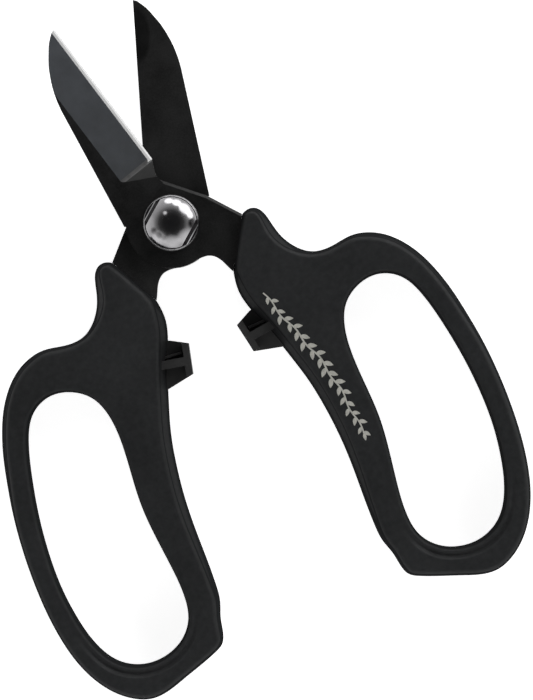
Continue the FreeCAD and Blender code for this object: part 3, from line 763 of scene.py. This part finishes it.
# paler towards the heel's round
seph = nt.nodes.new("ShaderNodeSeparateXYZ")
nt.links.new(v, seph.inputs["Vector"])
toward_round = nt.nodes.new("ShaderNodeMath")
toward_round.operation = "ADD"
nt.links.new(maprange(nt, seph.outputs["Y"], 0.0132, 0.0157, 0.0, 0.75), toward_round.inputs[0])
nt.links.new(maprange(nt, noise(nt, v, 260.0), 0.3, 0.7, 0.0, 0.25), toward_round.inputs[1])
nt.links.new(ramp(nt, toward_round.outputs[0], [(0.1, grey(0.0062)), (0.95, grey(0.0165))]), b.inputs["Base Color"])
nt.links.new(maprange(nt, noise(nt, v, 900.0), 0.3, 0.7, 0.34, 0.44), b.inputs["Roughness"])
b.inputs["Metallic"].default_value = 0.1
nt.links.new(bump(nt, noise(nt, v, 2400.0, 2.0), 0.12, 0.00002), b.inputs["Normal"])

# heel round, painted paler than the facet beside it: a painted highlight
m_round_painted_highlight, nt, b = material("heel_round_painted_highlight")
v = coords(nt)
nt.links.new(ramp(nt, noise(nt, v, 700.0, 4.0), [(0.3, grey(0.080)), (0.7, grey(0.114))]), b.inputs["Base Color"])
nt.links.new(maprange(nt, noise(nt, v, 900.0), 0.3, 0.7, 0.36, 0.48), b.inputs["Roughness"])
b.inputs["Metallic"].default_value = 0.3

# bare steel cutting strip: brighter in a hair line along the very edge
EDGE_A, EDGE_B = Vector((1.15, 17.55, 0)) * MM, Vector((-10.90, 57.80, 0)) * MM


def bare_steel(name, sgn):
    m, nt, b = material(name)
    v = coords(nt, scale=(2500, 200, 200), rot=(0, 0, math.radians(-17 * sgn)))
    lines = noise(nt, v, 1.0, 3.0)
    d = (EDGE_B - EDGE_A).normalized()
    across = Vector((-d.y * sgn, d.x, 0))
    dot = nt.nodes.new("ShaderNodeVectorMath")
    dot.operation = "DOT_PRODUCT"
    nt.links.new(coords(nt), dot.inputs[0])
    dot.inputs[1].default_value = across
    zero = across.dot(Vector((EDGE_A.x * sgn, EDGE_A.y, 0)))
    rim = maprange(nt, dot.outputs["Value"], zero + 0.00038, zero + 0.00052, 1.0, 0.0)
    mix = nt.nodes.new("ShaderNodeMix")
    mix.data_type = "RGBA"
    nt.links.new(rim, mix.inputs["Factor"])
    nt.links.new(ramp(nt, lines, [(0.3, grey(0.17)), (0.7, grey(0.26))]), mix.inputs["A"])
    nt.links.new(ramp(nt, lines, [(0.3, grey(0.30)), (0.7, grey(0.42))]), mix.inputs["B"])
    nt.links.new(mix.outputs["Result"], b.inputs["Base Color"])
    b.inputs["Metallic"].default_value = 1.0
    nt.links.new(maprange(nt, lines, 0.3, 0.7, 0.22, 0.34), b.inputs["Roughness"])
    return m


m_bare = {"upper_blade": bare_steel("bare_steel_edge", 1.0), "lower_blade": bare_steel("bare_steel_edge_lower", -1.0)}

# broken edge of the neck, painted darker than the coat: painted shade that dims its highlight
m_neck_painted_shade, nt, b = material("coated_neck_edge_painted_shade")
v = coords(nt)
nt.links.new(ramp(nt, noise(nt, v, 900.0, 4.0), [(0.3, grey(0.0042)), (0.7, grey(0.0088))]), b.inputs["Base Color"])
nt.links.new(maprange(nt, noise(nt, v, 420.0), 0.3, 0.7, 0.36, 0.50), b.inputs["Roughness"])
b.inputs["Specular IOR Level"].default_value = 0.26

# chrome
m_chrome, nt, b = material("bright_chrome")
v = coords(nt)
nt.links.new(ramp(nt, noise(nt, v, 250.0), [(0.3, grey(0.27, (1.0, 0.985, 1.01))), (0.7, grey(0.32, (1.0, 0.985, 1.01)))]), b.inputs["Base Color"])
b.inputs["Metallic"].default_value = 1.0
nt.links.new(maprange(nt, noise(nt, v, 700.0, 6.0), 0.35, 0.7, 0.08, 0.17), b.inputs["Roughness"])
n1 = bump(nt, noise(nt, v, 420.0, 4.0), 0.30, 0.00006)
nt.links.new(bump(nt, noise(nt, v, 1500.0, 3.0), 0.12, 0.00002, n1), b.inputs["Normal"])

# zinc
m_zinc, nt, b = material("zinc_plated_steel")
v = coords(nt)
nt.links.new(ramp(nt, noise(nt, v, 500.0), [(0.3, (0.25, 0.25, 0.24, 1)), (0.7, (0.36, 0.36, 0.35, 1))]), b.inputs["Base Color"])
b.inputs["Metallic"].default_value = 1.0
nt.links.new(maprange(nt, noise(nt, v, 1500.0), 0.3, 0.7, 0.25, 0.42), b.inputs["Roughness"])

# ink
m_ink, nt, b = material("pale_print")
v = coords(nt)
nt.links.new(ramp(nt, noise(nt, v, 1800.0, 3.0), [(0.25, grey(0.38, (1, 0.99, 0.90))), (0.6, grey(0.54, (1, 0.99, 0.90)))]), b.inputs["Base Color"])
nt.links.new(maprange(nt, noise(nt, v, 2500.0), 0.3, 0.7, 0.4, 0.6), b.inputs["Roughness"])

# floor
m_floor, nt, b = material("pale_floor")
v = coords(nt)
nt.links.new(ramp(nt, noise(nt, v, 3.0), [(0.2, grey(0.93)), (0.8, grey(0.95))]), b.inputs["Base Color"])
b.inputs["Emission Color"].default_value = (1, 1, 1, 1)      # a light table lit from below
b.inputs["Emission Strength"].default_value = 0.85
b.inputs["Roughness"].default_value = 0.8
b.inputs["Specular IOR Level"].default_value = 0.1


def dress(o, *mats):
    o.data.materials.clear()
    for m in mats:
        o.data.materials.append(m)


for o in (right_grip, left_grip):
    dress(o, m_soft)
for n in ("right_core", "left_core"):
    o = nodes[n]
    dress(o, m_hard, m_pocket_painted_shade, m_pocket_painted_light)
    sgn = 1.0 if n == "right_core" else -1.0
    for p in o.data.polygons:
        # the floors of the stop's two pockets: a dark one towards the pivot, painted shade, and a paler one below the
        # rib, painted light
        if abs(p.normal.z) > 0.9 and abs(p.center.z * 1000 - MID) < 2.0:
            c = p.center * 1000
            along = c.x * sgn * math.sin(math.radians(12.2)) - c.y * math.cos(math.radians(12.2))
            if along > 36.1:
                p.material_index = 2 if sgn > 0 else 0
            else:
                p.material_index = 1
for o in ledges:
    dress(o, m_hard)
dress(nodes["pivot_bolt"], m_chrome)
dress(bolt, m_chrome)
dress(print_, m_ink)
for n in ("flat_washer", "disc_spring", "lock_nut"):
    dress(nodes[n], m_zinc)

# faces of the blades by their direction
N_BEVEL = Vector((0.200, 0.060, 0.978))
N_BARE = Vector((0.430, 0.129, 0.893))
N_FACET = Vector((0.070, 0.390, 0.918))
for name, sgn in (("upper_blade", 1.0), ("lower_blade", -1.0)):
    o = nodes[name]
    dress(o, m_coat[name], m_bevel, m_heel, m_bare[name], m_round_painted_highlight, m_neck_painted_shade)
    me = o.data
    counts = [0] * 6
    for p in me.polygons:
        # into the upper blade's own directions
        n = Vector((p.normal.x * sgn, p.normal.y, p.normal.z * sgn))
        c = p.center * 1000
        c = Vector((c.x * sgn, c.y, (c.z - MID) * sgn))
        k = 0
        if n.z > 0.5 and c.y > 12.6:
            if (n - N_BARE).length < 0.05:
                k = 3 if c.y > 17.0 else 2
            elif (n - N_BEVEL).length < 0.02:
                k = 1
            elif (n - N_FACET).length < 0.03:
                k = 2
            elif N_BEVEL.y + 0.005 < n.y < N_FACET.y - 0.005 and 0.06 < n.x < 0.21:
                k = 4
        elif n.z > 0.5 and 0.2 < n.x and 0.2 < n.y and c.y > -6.0:
            k = 5
        p.material_index = k
        counts[k] += 1
    print(name, "faces", counts, "verts", len(me.vertices), "custom normals", me.has_custom_normals)

# a hair of roundness on the machined and moulded edges, so that they catch the light
for n, width in (("upper_blade", 0.09), ("lower_blade", 0.09), ("right_core", 0.14), ("left_core", 0.14),
                 ("lock_nut", 0.12), ("flat_washer", 0.05), ("disc_spring", 0.04)):
    w = nodes[n].modifiers.new("join_corners", "WELD")
    w.merge_threshold = 1e-6
    v = nodes[n].modifiers.new("edge_round", "BEVEL")
    v.width = width * MM
    v.segments = 2
    v.limit_method = "ANGLE"
    v.angle_limit = math.radians(32)
    v.use_clamp_overlap = True
    v.harden_normals = False

# --------------------------------------------------------------------------- stage
bpy.ops.mesh.primitive_plane_add(size=6.0, location=(0, 0, -0.00002))
floor = bpy.context.object
floor.name = "floor"
dress(floor, m_floor)

C = Vector((0.0117, -0.0394, 0.0))
# image axes in the row frame
IR = Vector((0.9367, -0.3502, 0))
IU = Vector((0.3502, 0.9367, 0))

world = bpy.data.worlds.new("studio")
sc.world = world
world.use_nodes = True
wn = world.node_tree
bg = wn.nodes["Background"]
tc = wn.nodes.new("ShaderNodeTexCoord")
sep = wn.nodes.new("ShaderNodeSeparateXYZ")
wn.links.new(tc.outputs["Generated"], sep.inputs["Vector"])
r = wn.nodes.new("ShaderNodeValToRGB")
e = r.color_ramp.elements
e[0].position, e[0].color = 0.0, (1.0, 1.0, 1.0, 1)
e[1].position, e[1].color = 1.0, (0.022, 0.022, 0.023, 1)
for pos, val in ((0.25, 0.80), (0.50, 0.58), (0.66, 0.26), (0.76, 0.08), (0.90, 0.03)):
    k = e.new(pos)
    k.color = (val, val, val, 1)
wn.links.new(sep.outputs["Z"], r.inputs["Fac"])
total = r.outputs["Color"]


def softbox(total, azimuth, zenith, inner, outer, strength):
    """A round soft light in the sky: azimuth from the picture's right towards its top, zenith angle, degrees."""
    a, t = math.radians(azimuth), math.radians(zenith)
    d = (IR * math.cos(a) + IU * math.sin(a)) * math.sin(t) + Vector((0, 0, math.cos(t)))
    dot = wn.nodes.new("ShaderNodeVectorMath")
    dot.operation = "DOT_PRODUCT"
    dot.inputs[1].default_value = d
    wn.links.new(tc.outputs["Generated"], dot.inputs[0])
    m = wn.nodes.new("ShaderNodeMapRange")
    m.interpolation_type = "SMOOTHSTEP"
    m.inputs["From Min"].default_value = math.cos(math.radians(outer))
    m.inputs["From Max"].default_value = math.cos(math.radians(inner))
    m.inputs["To Min"].default_value = 0.0
    m.inputs["To Max"].default_value = strength
    wn.links.new(dot.outputs["Value"], m.inputs["Value"])
    add = wn.nodes.new("ShaderNodeVectorMath")
    add.operation = "ADD"
    wn.links.new(total, add.inputs[0])
    wn.links.new(m.outputs["Result"], add.inputs[1])
    return add.outputs["Vector"]


total = softbox(total, 48, 66, 15, 19, 2.3)
total = softbox(total, 26, 68, 9, 13, 2.3)
total = softbox(total, 76, 71, 10, 14, 2.3)
total = softbox(total, 97, 76, 8, 12, 2.3)
total = softbox(total, -45, 62, 4, 28, 0.62)
total = softbox(total, -88, 62, 4, 28, 0.62)
total = softbox(total, -131, 64, 4, 28, 0.62)
total = softbox(total, 180, 72, 6, 24, 0.20)
total = softbox(total, 122, 38, 3, 7, 1.4)
# black flags
total = softbox(total, 0, 70, 6, 19, -0.62)
total = softbox(total, 204, 64, 2, 13, -0.55)
total = softbox(total, 224, 57, 3, 13, -0.65)
total = softbox(total, 244, 56, 2, 10, -0.35)
floor_of_light = wn.nodes.new("ShaderNodeVectorMath")
floor_of_light.operation = 'MAXIMUM'
wn.links.new(total, floor_of_light.inputs[0])
floor_of_light.inputs[1].default_value = (0.0, 0.0, 0.0)
wn.links.new(floor_of_light.outputs["Vector"], bg.inputs["Color"])
bg.inputs["Strength"].default_value = 1.2

cam_data = bpy.data.cameras.new("camera")
cam = bpy.data.objects.new("camera", cam_data)
sc.collection.objects.link(cam)
D_CAM = 1.0
cam_data.sensor_fit = "AUTO"
cam_data.sensor_width = 36.0
cam_data.lens = 36.0 * (D_CAM - 0.008) / 0.182 * 1.0031
cam.location = Vector((0.01172, -0.03944, D_CAM)) - IR * 0.000105 - IU * 0.000077
R3 = Matrix((IR, IU, (0, 0, 1))).transposed()
cam.rotation_mode = "QUATERNION"
cam.rotation_quaternion = R3.to_quaternion()
cam_data.clip_start = 0.05
cam_data.clip_end = 20.0
sc.camera = cam
sc.view_settings.view_transform = "Standard"
